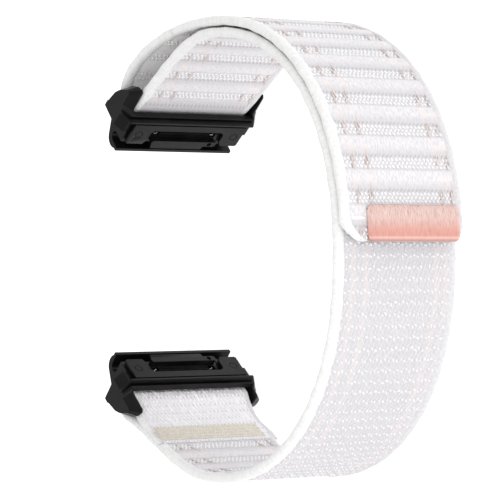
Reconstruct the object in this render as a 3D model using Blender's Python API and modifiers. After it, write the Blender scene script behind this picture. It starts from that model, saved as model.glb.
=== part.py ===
"""Woven hook-and-loop watch strap with a quick-release adapter at each end.

One strip of ribbed webbing is sewn round the lower adapter's bar, runs round the wrist, turns back
round the upper adapter's bar and closes over itself with a hook patch under its pull tab.
The closed loop lies on its side: its outline is in the XY plane, Z runs across the webbing, +X is the
upper adapter's side and +Y points from the front of the loop to the adapters. Lengths are metres.
"""
import math

import bmesh
import bpy
from mathutils import Matrix, Vector

# Webbing
BAND_WIDTH = 0.0260
WEB_THICKNESS = 0.0016
FIELD_SINK = 0.0002
SELVEDGE_WIDTH = 0.0016
RIB_PITCH = 0.0060
GROOVE_WIDTH = 0.0022
GROOVE_DEPTH = 0.0003
LAST_GROOVE = 0.0089

# Loop round the wrist, on the middle line of the under layer
LOOP_HALF_HEIGHT = 0.0395
LOOP_REACH = 0.0379
LOOP_SQUARENESS_SHARE = 2.2

# Bars that the webbing turns round, from the middle of the loop
BAR_HEIGHT = 0.02848
BAR_SHIFT = 0.00064
BAR_SETBACK = 0.02665
BAR_DIAMETER = 0.0022
BAR_TIP_DIAMETER = 0.0012
BAR_TIP_SEAT = 0.0009
BAR_CLEARANCE = 0.0003
BAR_TIP_CLEARANCE = 0.0001

# Headings in the XY plane: how far the adapters lean in, and where the webbing leaves the bars
ADAPTER_LEAN = math.radians(40)
FLAP_HEADING = math.radians(35)
LOWER_HEADING = math.radians(251.5)
UPPER_HEADING = math.radians(116.5)
TAIL_HEADING = math.radians(0)

# Free lengths of the strip
FLAP_LENGTH = 0.0130
FLAP_GAP = 0.0004
TAIL_TIP_HEIGHT = 0.0023
TAIL_END_LENGTH = 0.0360
FLEX_GAP = 0.0001
TIP_CHAMFER = 0.0024
TIP_CUT = 0.0018

# Sewn and bonded pieces on the webbing
PIECE_GAP = 0.00012
STITCH_LEAD = 0.0010
STITCH_LENGTH = 0.0042
STITCH_INSET = 0.00175
STITCH_THICKNESS = 0.0004
HOOK_LEAD = 0.0060
HOOK_SETBACK = 0.0030
HOOK_INSET = 0.0020
HOOK_THICKNESS = 0.00026
TAB_LENGTH = 0.0061
TAB_SIDE_MARGIN = 0.0016
TAB_OPEN_MARGIN = 0.0045
TAB_THICKNESS = 0.0012
TAB_CORNER = 0.0012

# Adapter head: arms beside the webbing, and the pocket that its turn lies in
SIDE_GAP = 0.00035
ARM_THICKNESS = 0.0016
ARM_FLAT = 0.0003
ARM_REACH = 0.0055
ARM_END_SHARE = 0.66
ARM_FACE_SHARE = 0.60
POCKET_CLEARANCE = 0.0003
POCKET_OPEN_ANGLE = math.radians(20)
POCKET_EDGE_ANGLE = math.radians(-80)
LIP_THICKNESS = 0.0015
LIP_ROUND = 0.0004
LIP_FACE = 0.0002
OUTER_LIP_THICKNESS = 0.0009
HEAD_LENGTH = 0.0041

# Adapter hook, for the pin between the lugs
LUG_CLEARANCE = 0.0001
PIN_DIAMETER = 0.0018
PIN_CLEARANCE = 0.0001
NOSE_WALL = 0.0012

# Cover of the latch, on the wrist side
WRIST_STEP = 0.0023
COVER_START = 0.0014
COVER_THICKNESS = 0.0006
COVER_GAP = 0.0002
COVER_MARGIN = 0.0003
COVER_INSET = 0.0005
LEDGE_WIDTH = 0.0005
WINDOW_MARGIN = 0.0003
WINDOW_FLARE = 0.0006
RIVET_INSET = 0.0018
RIVET_HEAD = 0.0014
RIVET_HEAD_HEIGHT = 0.0005
RIVET_SHANK = 0.0009
RIVET_LENGTH = 0.0024
RIVET_CLEARANCE = 0.0001

# Slider and springs of the latch
SLIDER_INSET = 0.0046
SLIDER_THICKNESS = 0.0010
SLIDER_LENGTH = 0.0025
SLIDER_GAP = 0.0002
CHANNEL_LEAD = 0.0004
STOP_GAP = 0.0004
TONGUE_INSET = 0.0020
TONGUE_GAP = 0.0003
GRIP_INSET = 0.0006
GRIP_LENGTH = 0.0012
GRIP_HEIGHT = 0.0005
GRIP_CORNER = 0.0005
DIMPLE_DIAMETER = 0.0009
DIMPLE_DEPTH = 0.0004
DIMPLE_INSET = 0.0021
SPRING_INSET = 0.0015
SPRING_NOTCH = 0.0009
SPRING_DIAMETER = 0.0010
WIRE_DIAMETER = 0.0002
SPRING_CURLS = 4

# Overrun of every cut, and the least distance between points
OVERRUN = 0.0010
WELD = 0.00001

ROUND_SEGMENTS = 24
CURVE_STEPS = 240
CURL_POINTS = 9
TURN_STEP = math.radians(22)
CREASE = math.radians(35)

# Worked out for the webbing
half_band = BAND_WIDTH / 2
half_web = WEB_THICKNESS / 2
tail_offset = WEB_THICKNESS + HOOK_THICKNESS + 2 * PIECE_GAP
wrap_radius = BAR_DIAMETER / 2 + BAR_CLEARANCE + half_web
upper_bar = Vector((BAR_SHIFT + BAR_HEIGHT, BAR_SETBACK))
lower_bar = Vector((BAR_SHIFT - BAR_HEIGHT, BAR_SETBACK))
upper_along = math.pi / 2 + ADAPTER_LEAN
lower_along = math.pi / 2 - ADAPTER_LEAN

# Worked out across the adapter
arm_inner = half_band + SIDE_GAP
arm_outer = arm_inner + ARM_THICKNESS
half_hook = half_band - LUG_CLEARANCE
half_cover = half_hook - COVER_INSET
half_slider = half_cover - SLIDER_INSET
rivet_place = half_cover - RIVET_INSET
spring_place = half_slider - SPRING_INSET

# Worked out along and through the adapter
pocket_radius = wrap_radius + half_web + POCKET_CLEARANCE
jaw_radius = PIN_DIAMETER / 2 + PIN_CLEARANCE
slider_travel = 2 * jaw_radius - TONGUE_GAP + SLIDER_GAP / 2
channel_start = COVER_START + CHANNEL_LEAD
slider_start = channel_start + slider_travel + STOP_GAP
slider_end = slider_start + SLIDER_LENGTH
pin_reach = slider_end + SLIDER_GAP + jaw_radius
cover_end = pin_reach - jaw_radius - COVER_MARGIN
grip_end = slider_end - COVER_MARGIN
rivet_along = (COVER_START + cover_end) / 2
wrist_face = pocket_radius + WRIST_STEP
seat_face = wrist_face - COVER_THICKNESS - COVER_GAP
slider_face = wrist_face - COVER_THICKNESS - SLIDER_GAP
channel_floor = slider_face - SLIDER_THICKNESS - SLIDER_GAP
pin_drop = channel_floor - PIN_DIAMETER / 2


def clear_scene():
    for found in list(bpy.data.objects):
        bpy.data.objects.remove(found, do_unlink=True)


def new_collection(name):
    made = bpy.data.collections.new(name)
    bpy.context.scene.collection.children.link(made)
    return made


def material(name, color, roughness, metallic=0.0):
    made = bpy.data.materials.new(name)
    made.use_nodes = True
    shader = made.node_tree.nodes["Principled BSDF"]
    shader.inputs["Base Color"].default_value = (*color, 1.0)
    shader.inputs["Roughness"].default_value = roughness
    shader.inputs["Metallic"].default_value = metallic
    return made


def put(obj, collection, parent, surface):
    """Files an object under its collection, parent and material."""
    collection.objects.link(obj)
    obj.parent = parent
    obj.data.materials.clear()
    obj.data.materials.append(surface)


def smooth(obj):
    obj.data.shade_smooth()
    obj.data.set_sharp_from_angle(angle=CREASE)


def joint_empty(name, collection, place, parent=None, rotation=(0, 0, 0)):
    made = bpy.data.objects.new(name, None)
    made.empty_display_size = BAR_DIAMETER
    made.location = (place.x, place.y, 0)
    made.rotation_euler = rotation
    made.parent = parent
    collection.objects.link(made)
    return made


# Routes in the XY plane

def direction(angle):
    return Vector((math.cos(angle), math.sin(angle)))


def left_of(heading):
    return Vector((-heading.y, heading.x))


def arc(centre, radius, start, end, steps=ROUND_SEGMENTS):
    """Points of an arc from one angle to another."""
    turn = (end - start) / steps
    return [centre + radius * direction(start + turn * i) for i in range(steps + 1)]


def bezier(start, start_pull, end_pull, end, steps=CURVE_STEPS // 4):
    points = []
    for i in range(steps + 1):
        t = i / steps
        points.append((1 - t) ** 3 * start + 3 * t * (1 - t) ** 2 * start_pull
                      + 3 * t * t * (1 - t) * end_pull + t ** 3 * end)
    return points


def loop_point(angle):
    """Middle line of the under layer: 0 at the front of the loop, a quarter turn at its top."""
    power = 2 / LOOP_SQUARENESS_SHARE
    across = math.copysign(abs(math.sin(angle)) ** power, math.sin(angle))
    along = math.copysign(abs(math.cos(angle)) ** power, math.cos(angle))
    return Vector((LOOP_HALF_HEIGHT * across, -LOOP_REACH * along))


def joined(*runs):
    """One route from several, without the points that they share."""
    route = list(runs[0])
    for run in runs[1:]:
        route.extend(p for p in run if (p - route[-1]).length > WELD)
    return route


def heading_at(points, i):
    before = points[max(i - 1, 0)]
    after = points[min(i + 1, len(points) - 1)]
    return (after - before).normalized()


class Route:
    """A run of points that can be read at any length along it."""

    def __init__(self, points):
        self.points = points
        self.marks = [0.0]
        for a, b in zip(points, points[1:]):
            self.marks.append(self.marks[-1] + (b - a).length)
        self.length = self.marks[-1]

    def at(self, length):
        """Point and unit heading at a length."""
        length = min(max(length, 0.0), self.length)
        i = next(k for k in range(1, len(self.marks)) if self.marks[k] >= length)
        part = (length - self.marks[i - 1]) / (self.marks[i] - self.marks[i - 1])
        point = self.points[i - 1].lerp(self.points[i], part)
        heading = heading_at(self.points, i - 1).lerp(heading_at(self.points, i), part)
        return point, heading.normalized()

    def off(self, length, offset):
        """Point at a length, moved to the route's left by an offset."""
        point, heading = self.at(length)
        return point + offset * left_of(heading)


def lower_run():
    """From the lower bar's outer side to the underside of the loop."""
    pull_share = 0.266
    start = lower_bar + wrap_radius * direction(LOWER_HEADING - math.pi / 2)
    end = loop_point(-math.pi / 2)
    pull = LOOP_HALF_HEIGHT * pull_share
    return bezier(start, start + pull * direction(LOWER_HEADING), end + Vector((0, pull)), end)


def wrist_run():
    """Under the loop, round its front and up to its top."""
    turn = math.pi / CURVE_STEPS
    return [loop_point(turn * i - math.pi / 2) for i in range(CURVE_STEPS + 1)]


def upper_run():
    """From the top of the loop to the upper bar's wrist side."""
    pull_share = 0.242
    start = loop_point(math.pi / 2)
    end = upper_bar + wrap_radius * direction(UPPER_HEADING + math.pi / 2)
    pull = LOOP_HALF_HEIGHT * pull_share
    return bezier(start, start + Vector((0, pull)), end - pull * direction(UPPER_HEADING), end)


def flap_run():
    """The sewn end: inside the lower run, from the stitching back up to the lower bar."""
    pull_share = 0.38
    along = Route(lower_run())
    start = along.off(FLAP_LENGTH, WEB_THICKNESS + FLAP_GAP)
    heading = along.at(FLAP_LENGTH)[1]
    end = lower_bar + wrap_radius * direction(FLAP_HEADING - math.pi / 2)
    pull = FLAP_LENGTH * pull_share
    return bezier(start, start - pull * heading, end - pull * direction(FLAP_HEADING), end)


def lower_turn():
    return arc(lower_bar, wrap_radius, FLAP_HEADING - math.pi / 2, LOWER_HEADING - math.pi / 2)


def upper_turn():
    return arc(upper_bar, wrap_radius, UPPER_HEADING + math.pi / 2, TAIL_HEADING + math.pi / 2)


def tail_run():
    """From the upper bar over the outside of the loop to the tip by the pull tab."""
    leave_share = 0.167
    land_share = 0.395
    under = Route(wrist_run())
    steps = CURVE_STEPS // 2
    back = [under.off(under.length * (1 - k / CURVE_STEPS), -tail_offset) for k in range(steps + 1)]
    over = [p for p in back if p.x > TAIL_TIP_HEIGHT]
    start = upper_bar + wrap_radius * direction(TAIL_HEADING + math.pi / 2)
    leave = LOOP_HALF_HEIGHT * leave_share * direction(TAIL_HEADING)
    land = Vector((0, LOOP_HALF_HEIGHT * land_share))
    return joined(bezier(start, start + leave, over[0] + land, over[0]), over)


# Webbing and the pieces sewn to it

def loft(name, rings):
    """A closed solid through rings of the same number of points, with its ends filled."""
    mesh = bpy.data.meshes.new(name)
    work = bmesh.new()
    made = [[work.verts.new((p.x, p.y, z)) for p, z in ring] for ring in rings]
    for a, b in zip(made, made[1:]):
        for i in range(len(a)):
            j = (i + 1) % len(a)
            work.faces.new((a[i], a[j], b[j], b[i]))
    work.faces.new(made[0])
    work.faces.new(reversed(made[-1]))
    bmesh.ops.recalc_face_normals(work, faces=work.faces)
    work.to_mesh(mesh)
    work.free()
    return bpy.data.objects.new(name, mesh)


def web_section(half_width, ribbed_face, plain_face):
    """Section as (offset to the left, height): a round selvedge each side of a thinner field."""
    angles = [math.radians(a) for a in (108, 54, 0, -54, -108)]
    bead = half_width - half_web
    field = half_width - SELVEDGE_WIDTH
    upper = [(half_web * math.sin(a), bead + half_web * math.cos(a)) for a in angles]
    lower = [(offset, -height) for offset, height in reversed(upper)]
    ribbed = [(ribbed_face, -field), (ribbed_face, field)]
    plain = [(-plain_face, field), (-plain_face, -field)]
    return ribbed + upper + plain + lower


def turn_marks(start, end):
    """Lengths for a stretch that turns round a bar, with no ribs: (length, groove depth)."""
    count = math.ceil((end - start) / (wrap_radius * TURN_STEP))
    return [(start + (end - start) * k / count, 0.0) for k in range(count + 1)]


def rib_marks(start, end, last):
    """Lengths for a ribbed stretch, at both sides and the middle of each groove before the last."""
    marks = [(start, 0.0), (end, 0.0)]
    for k in range(int((last - start) / RIB_PITCH) + 1):
        middle = last - k * RIB_PITCH
        low = middle - GROOVE_WIDTH / 2
        high = middle + GROOVE_WIDTH / 2
        if start < low and high < end:
            marks += [(low, 0.0), (middle, GROOVE_DEPTH), (high, 0.0)]
    return marks


def tip_marks(end):
    step_shares = (0.6, 0.3, 0.1, 0)
    return [(end - TIP_CHAMFER * share, 0.0) for share in step_shares]


def webbing(name, route, marks, tip=None):
    """A length of the strip. Its left face is ribbed, and its corners are cut round at the tip."""
    rings = []
    for length, groove in sorted(set(marks)):
        past = 0.0 if tip is None else max(length - tip + TIP_CHAMFER, 0.0) / TIP_CHAMFER
        section = web_section(half_band - TIP_CUT * past ** 2, half_web - groove, half_web - FIELD_SINK)
        rings.append([(route.off(length, offset), height) for offset, height in section])
    return loft(name, rings)


def flat_strip(name, route, start, end, near, far, half_width, steps):
    """A thin strip along a route, between two offsets to its left."""
    section = [(near, -half_width), (far, -half_width), (far, half_width), (near, half_width)]
    marks = [start + (end - start) * k / steps for k in range(steps + 1)]
    return loft(name, [[(route.off(m, offset), height) for offset, height in section] for m in marks])


def pull_tab(name, route):
    """Folded satin tab across the tip, round at its corners and crowned at its edges."""
    corner_shares = (0, 0.15, 0.5, 1)
    near = half_web + PIECE_GAP
    low = -half_band + TAB_SIDE_MARGIN
    high = half_band - TAB_OPEN_MARGIN
    start = route.length - TAB_LENGTH
    insets = [TAB_CORNER * share for share in corner_shares]
    marks = [start + inset for inset in insets] + [route.length - inset for inset in reversed(insets)]
    rings = []
    for mark in marks:
        short = TAB_CORNER - min(mark - start, route.length - mark, TAB_CORNER)
        inset = TAB_CORNER - math.sqrt(TAB_CORNER ** 2 - short ** 2)
        far = near + TAB_THICKNESS * (1 - inset / TAB_CORNER / 2)
        soft = TAB_THICKNESS / 2
        section = [(near, low + inset), (far - soft, low + inset), (far, low + inset + soft),
                   (far, high - inset - soft), (far - soft, high - inset), (near, high - inset)]
        rings.append([(route.off(mark, offset), height) for offset, height in section])
    return loft(name, rings)


# Adapter pieces. X runs from the bar to the pin, Y out from the wrist, Z across the webbing

def outline_solid(name, outline, low, high, plane="XY"):
    """A flat outline with thickness, as a mesh. In the XZ plane, low and high are along Y."""
    curve = bpy.data.curves.new(name, "CURVE")
    curve.dimensions = "2D"
    curve.fill_mode = "BOTH"
    curve.extrude = (high - low) / 2
    spline = curve.splines.new("POLY")
    spline.points.add(len(outline) - 1)
    for point, (x, y) in zip(spline.points, outline):
        point.co = (x, y, 0, 1)
    spline.use_cyclic_u = True
    shape = bpy.data.objects.new(name + "_outline", curve)
    bpy.context.scene.collection.objects.link(shape)
    if plane == "XZ":
        shape.rotation_euler.x = math.pi / 2
        shape.location.y = (low + high) / 2
    else:
        shape.location.z = (low + high) / 2
    bpy.context.view_layer.update()
    mesh = bpy.data.meshes.new_from_object(shape.evaluated_get(bpy.context.evaluated_depsgraph_get()))
    mesh.transform(shape.matrix_world)
    mesh.name = name
    bpy.data.objects.remove(shape)
    work = bmesh.new()
    work.from_mesh(mesh)
    bmesh.ops.remove_doubles(work, verts=work.verts, dist=WELD)
    bmesh.ops.recalc_face_normals(work, faces=work.faces)
    work.to_mesh(mesh)
    work.free()
    return bpy.data.objects.new(name, mesh)


def block(name, low, high):
    """A box between two corners."""
    mesh = bpy.data.meshes.new(name)
    work = bmesh.new()
    bmesh.ops.create_cube(work, size=1)
    bmesh.ops.scale(work, verts=work.verts, vec=[b - a for a, b in zip(low, high)])
    bmesh.ops.translate(work, verts=work.verts, vec=[(a + b) / 2 for a, b in zip(low, high)])
    work.to_mesh(mesh)
    work.free()
    return bpy.data.objects.new(name, mesh)


def rod(name, radius, length, place, rotation=0.0, segments=ROUND_SEGMENTS):
    """A cylinder along Z, or turned about X by a rotation, centred on a place."""
    mesh = bpy.data.meshes.new(name)
    work = bmesh.new()
    bmesh.ops.create_cone(work, cap_ends=True, segments=segments, radius1=radius, radius2=radius,
                          depth=length)
    stand = Matrix.Translation(place) @ Matrix.Rotation(rotation, 4, "X")
    bmesh.ops.transform(work, matrix=stand, verts=work.verts)
    work.to_mesh(mesh)
    work.free()
    return bpy.data.objects.new(name, mesh)


def turned(name, profile, steps):
    """A turned piece: a profile of (radius, height) points, top to bottom, swept round Z."""
    mesh = bpy.data.meshes.new(name)
    mesh.from_pydata([(r, 0, z) for r, z in profile], [(i, i + 1) for i in range(len(profile) - 1)], [])
    made = bpy.data.objects.new(name, mesh)
    screw = made.modifiers.new("Screw", "SCREW")
    screw.axis = "Z"
    screw.steps = steps
    screw.render_steps = steps
    screw.use_merge_vertices = True
    screw.merge_threshold = WELD
    return made


def boolean(obj, tool, cutters, operation="DIFFERENCE"):
    """A Boolean whose tool is hidden and follows the piece that it shapes."""
    cutters.objects.link(tool)
    tool.parent = obj
    tool.display_type = "WIRE"
    tool.hide_render = True
    step = obj.modifiers.new(tool.name, "BOOLEAN")
    step.object = tool
    step.operation = operation
    step.solver = "EXACT"


def round_points(centre, radius, start_degrees, end_degrees, steps):
    turn = (end_degrees - start_degrees) / steps
    angles = [math.radians(start_degrees + turn * i) for i in range(steps + 1)]
    return [(centre[0] + radius * math.cos(a), centre[1] + radius * math.sin(a)) for a in angles]


def lip_points():
    """Wrist side of the head, from the cover's ledge over the groove to the round lip."""
    ledge = COVER_START - COVER_MARGIN
    lip = pocket_radius + LIP_THICKNESS - LIP_ROUND
    groove = ledge - LEDGE_WIDTH
    slope = LIP_ROUND / 4
    step = [(ledge, -wrist_face), (groove + slope, -wrist_face), (groove - slope, -lip)]
    return step + round_points((0, -lip), LIP_ROUND, -20, -170, 6)


def arm_points():
    """Arm beside the webbing: along its wrist edge to the blunt horn, then back over the bar."""
    arm_shares = ((0.14, -1.17), (0.52, -1.16), (0.93, -1.12), (1.0, -0.96), (0.89, -0.55), (0.68, -0.15),
                  (0.36, 0.20), (0.0, 0.40), (-0.45, 0.53))
    return [(-ARM_REACH * along, pocket_radius * out) for along, out in arm_shares]


def frame_outline():
    """Side view of the whole adapter: outer face, hooked nose, jaw, latch face, lip and arm."""
    back_shares = ((0.39, 0.61), (0.56, 0.58), (0.78, 0.30))
    pin = (pin_reach, -pin_drop)
    nose = jaw_radius + NOSE_WALL
    hook = [(pin_reach * along, pocket_radius * out) for along, out in back_shares]
    hook += round_points(pin, nose, 64, -40, 8)
    mouth = [(pin_reach + nose * 3 / 4, -seat_face), (pin_reach + jaw_radius, -seat_face)]
    mouth += round_points(pin, jaw_radius, 0, 180, 10)
    mouth += [(pin_reach - jaw_radius, -seat_face), (COVER_START - COVER_MARGIN, -seat_face)]
    return hook + mouth + lip_points() + arm_points()


def frame_body(name):
    """The outline swept across the adapter, drawn in towards the bar at the outside of both arms."""
    full = frame_outline()
    drawn = [(a if a > 0 else a * ARM_END_SHARE, o if o > 0 else o * ARM_FACE_SHARE) for a, o in full]
    flat = arm_inner + ARM_FLAT
    stations = ((drawn, -arm_outer), (full, -flat), (full, flat), (drawn, arm_outer))
    return loft(name, [[(Vector(p), z) for p in outline] for outline, z in stations])


def strap_room_outline():
    """Room for the webbing's turn between the arms: the pocket, open towards the loop."""
    edge = pocket_radius * math.cos(POCKET_OPEN_ANGLE)
    rise = pocket_radius * math.sin(POCKET_OPEN_ANGLE)
    reach = ARM_REACH + HEAD_LENGTH
    start = math.degrees(POCKET_EDGE_ANGLE)
    pocket = round_points((0, 0), pocket_radius, start, math.degrees(POCKET_OPEN_ANGLE), 14)
    outer = [(edge + OUTER_LIP_THICKNESS / 2, rise + OUTER_LIP_THICKNESS),
             (edge + OUTER_LIP_THICKNESS, reach)]
    inner = [(-reach, reach), (-reach, -reach), (-LIP_FACE, -reach),
             (-LIP_FACE, -pocket_radius - LIP_ROUND)]
    return pocket + outer + inner


def adapter_frame(name, cutters):
    """The adapter's one solid: hook, head and the two arms."""
    body = frame_body(name)
    reach = pin_reach + HEAD_LENGTH
    outside = arm_outer + OVERRUN
    half_channel = half_slider + SLIDER_GAP
    hole_length = RIVET_LENGTH + RIVET_CLEARANCE
    boolean(body, outline_solid(name + "_strap_room", strap_room_outline(), -arm_inner, arm_inner), cutters)
    for side, low, high in (("left", half_hook, outside), ("right", -outside, -half_hook)):
        room = block(name + "_" + side + "_lug_room", (HEAD_LENGTH, -reach, low), (reach, reach, high))
        boolean(body, room, cutters)
    boolean(body, block(name + "_channel", (channel_start, -wrist_face - OVERRUN, -half_channel),
                        (pin_reach, -channel_floor, half_channel)), cutters)
    for side, z in (("left", rivet_place), ("right", -rivet_place)):
        hole = rod(name + "_" + side + "_rivet_hole", RIVET_SHANK / 2 + RIVET_CLEARANCE, hole_length,
                   (rivet_along, -wrist_face + hole_length / 2, z), math.pi / 2, ROUND_SEGMENTS // 2)
        boolean(body, hole, cutters)
    boolean(body, rod(name + "_bar_seats", BAR_TIP_DIAMETER / 2 + BAR_TIP_CLEARANCE,
                      2 * (arm_inner + BAR_TIP_SEAT), (0, 0, 0)), cutters)
    return body


def cover_plate(name, cutters):
    """Thin cover over the latch, with a window that opens towards the pin."""
    half_window = half_slider + WINDOW_MARGIN
    window_start = grip_end - GRIP_LENGTH - slider_travel - WINDOW_MARGIN
    half = [(cover_end - COVER_MARGIN, half_cover), (cover_end, half_cover - COVER_MARGIN),
            (cover_end, half_window + WINDOW_FLARE), (cover_end - 2 * WINDOW_FLARE, half_window),
            (window_start + WINDOW_FLARE, half_window), (window_start, half_window - WINDOW_FLARE)]
    outline = [(COVER_START, half_cover)] + half + [(x, -z) for x, z in reversed(half)]
    outline.append((COVER_START, -half_cover))
    made = outline_solid(name, outline, -wrist_face, -wrist_face + COVER_THICKNESS, "XZ")
    radius = RIVET_HEAD / 2 + RIVET_CLEARANCE
    middle = -wrist_face + COVER_THICKNESS / 2
    for side, z in (("left", rivet_place), ("right", -rivet_place)):
        hole = rod(name + "_" + side + "_hole", radius, 2 * OVERRUN + COVER_THICKNESS,
                   (rivet_along, middle, z), math.pi / 2, ROUND_SEGMENTS // 2)
        boolean(made, hole, cutters)
    return made


def release_slider(name, side, cutters):
    """Latch plate with its tongue under the pin, notches for two springs, and a grip in the window."""
    half_tongue = half_slider - TONGUE_INSET
    tongue_end = pin_reach + jaw_radius - TONGUE_GAP
    notch_end = slider_start + SPRING_NOTCH
    notch_half = SPRING_DIAMETER / 2 + SLIDER_GAP
    half = [(slider_start, spring_place - notch_half), (notch_end, spring_place - notch_half),
            (notch_end, spring_place + notch_half), (slider_start, spring_place + notch_half),
            (slider_start, half_slider), (slider_end, half_slider), (slider_end, half_tongue),
            (tongue_end - COVER_MARGIN, half_tongue), (tongue_end, half_tongue - COVER_MARGIN)]
    outline = half + [(x, -z) for x, z in reversed(half)]
    made = outline_solid(name, outline, -slider_face, -slider_face + SLIDER_THICKNESS, "XZ")
    high = half_slider - GRIP_INSET - GRIP_CORNER
    right = grip_end - GRIP_CORNER
    left = grip_end - GRIP_LENGTH + GRIP_CORNER
    corners = ((right, high, 0), (left, high, 90), (left, -high, 180), (right, -high, 270))
    grip = [p for x, z, turn in corners for p in round_points((x, z), GRIP_CORNER, turn, turn + 90, 3)]
    top = -wrist_face - GRIP_HEIGHT
    root = -slider_face + SLIDER_THICKNESS / 2
    boolean(made, outline_solid(name + "_grip", grip, top, root, "XZ"), cutters, "UNION")
    place = ((left + right) / 2, top, side * (half_slider - DIMPLE_INSET))
    dimple = rod(name + "_dimple", DIMPLE_DIAMETER / 2, 2 * DIMPLE_DEPTH, place, math.pi / 2,
                 ROUND_SEGMENTS // 2)
    boolean(made, dimple, cutters)
    return made


def strap_bar(name):
    """Turned bar with a thinner tip in each arm."""
    shoulder = arm_inner - SIDE_GAP / 2
    end = arm_inner + BAR_TIP_SEAT - BAR_TIP_CLEARANCE
    edge = BAR_TIP_CLEARANCE
    upper = [(0, end), (BAR_TIP_DIAMETER / 2, end), (BAR_TIP_DIAMETER / 2, shoulder),
             (BAR_DIAMETER / 2 - edge, shoulder), (BAR_DIAMETER / 2, shoulder - edge)]
    return turned(name, upper + [(r, -z) for r, z in reversed(upper)], ROUND_SEGMENTS)


def rivet(name, z):
    """Flush rivet that holds the cover, with its head at the wrist face."""
    neck = wrist_face - RIVET_HEAD_HEIGHT
    end = wrist_face - RIVET_LENGTH
    profile = [(0, wrist_face), (RIVET_HEAD / 2, wrist_face), (RIVET_HEAD / 2, neck), (RIVET_SHANK / 2, neck),
               (RIVET_SHANK / 2, end), (0, end)]
    made = turned(name, profile, ROUND_SEGMENTS // 2)
    made.location = (rivet_along, 0, z)
    made.rotation_euler.x = math.pi / 2
    return made


def latch_spring(name, z):
    """Compression spring between the channel's end and the slider's notch."""
    level = -slider_face + SLIDER_THICKNESS / 2
    start = channel_start + WIRE_DIAMETER
    length = slider_start + SPRING_NOTCH - WIRE_DIAMETER - start
    radius = (SPRING_DIAMETER - WIRE_DIAMETER) / 2
    count = SPRING_CURLS * CURL_POINTS
    curve = bpy.data.curves.new(name, "CURVE")
    curve.dimensions = "3D"
    curve.bevel_depth = WIRE_DIAMETER / 2
    curve.bevel_resolution = 1
    curve.use_fill_caps = True
    spline = curve.splines.new("POLY")
    spline.points.add(count)
    for i, point in enumerate(spline.points):
        turn = 2 * math.pi * i / CURL_POINTS
        along = start + length * i / count
        point.co = (along, level + radius * math.cos(turn), z + radius * math.sin(turn), 1)
    return bpy.data.objects.new(name, curve)


def spring_gap(spring):
    """Least gap of a spring to itself, between points at least half a curl apart."""
    points = [p.co.xyz for p in spring.data.splines[0].points]
    apart = [(a - b).length for i, a in enumerate(points) for b in points[i + CURL_POINTS // 2 + 1:]]
    return min(apart) - WIRE_DIAMETER


# Assembly

def looks():
    return {"nylon": material("white_nylon", (0.84, 0.82, 0.85), 0.85),
            "thread": material("beige_thread", (0.66, 0.62, 0.53), 0.8),
            "satin": material("coral_satin", (0.86, 0.50, 0.42), 0.45),
            "hooks": material("hook_tape", (0.80, 0.79, 0.81), 0.7),
            "black": material("black_coated_steel", (0.015, 0.015, 0.017), 0.38, 0.6),
            "steel": material("bar_steel", (0.30, 0.30, 0.31), 0.35, 1.0),
            "wire": material("spring_wire", (0.45, 0.45, 0.46), 0.3, 1.0)}


def build_band(parts, root, look):
    """The root piece: sewn end, lower turn, wrist loop and upper turn, with the end's stitching."""
    flap = Route(flap_run())
    route = Route(joined(flap.points, lower_turn(), lower_run(), wrist_run(), upper_run(), upper_turn()))
    lower_end = flap.length + Route(lower_turn()).length
    upper_start = route.length - Route(upper_turn()).length
    marks = turn_marks(0.0, lower_end)[:-1] + turn_marks(upper_start, route.length)
    marks += rib_marks(lower_end, upper_start, upper_start - RIB_PITCH / 2)
    band = webbing("band", route, marks)
    put(band, parts, root, look["nylon"])
    smooth(band)
    near = -half_web - PIECE_GAP
    stitch_end = STITCH_LEAD + STITCH_LENGTH
    stitching = flat_strip("end_stitching", route, STITCH_LEAD, stitch_end, near - STITCH_THICKNESS, near,
                           half_band - STITCH_INSET, 3)
    put(stitching, parts, root, look["thread"])
    print("webbing in the band:", round(route.length, 4))


def build_tail(parts, root, look):
    """The part that closes over the loop, in two lengths that flex where they meet."""
    route = Route(tail_run())
    peel = route.length - TAIL_END_LENGTH
    flex_place = route.off(0.0, half_web)
    peel_place = route.off(peel, half_web)
    tail_joint = joint_empty("tail_joint", parts, flex_place, root)
    peel_joint = joint_empty("tail_end_joint", parts, peel_place - flex_place, tail_joint)
    hook_near = -half_web - PIECE_GAP
    hook_start = peel + HOOK_LEAD
    tip = route.length
    last = tip - LAST_GROOVE
    tail = webbing("tail", route, rib_marks(FLEX_GAP, peel - FLEX_GAP / 2, last))
    end_marks = rib_marks(peel + FLEX_GAP / 2, tip - TIP_CHAMFER, last) + tip_marks(tip)
    tail_end = webbing("tail_end", route, end_marks, tip)
    patch = flat_strip("hook_patch", route, hook_start, tip - HOOK_SETBACK, hook_near - HOOK_THICKNESS,
                       hook_near, half_band - HOOK_INSET, 9)
    tab = pull_tab("pull_tab", route)
    for obj, place, joint, surface in ((tail, flex_place, tail_joint, "nylon"),
                                       (tail_end, peel_place, peel_joint, "nylon"),
                                       (patch, peel_place, peel_joint, "hooks"),
                                       (tab, peel_place, peel_joint, "satin")):
        obj.data.transform(Matrix.Translation((-place.x, -place.y, 0)))
        put(obj, parts, joint, look[surface])
        smooth(obj)
    print("webbing in the tail:", round(route.length, 4))


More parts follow.
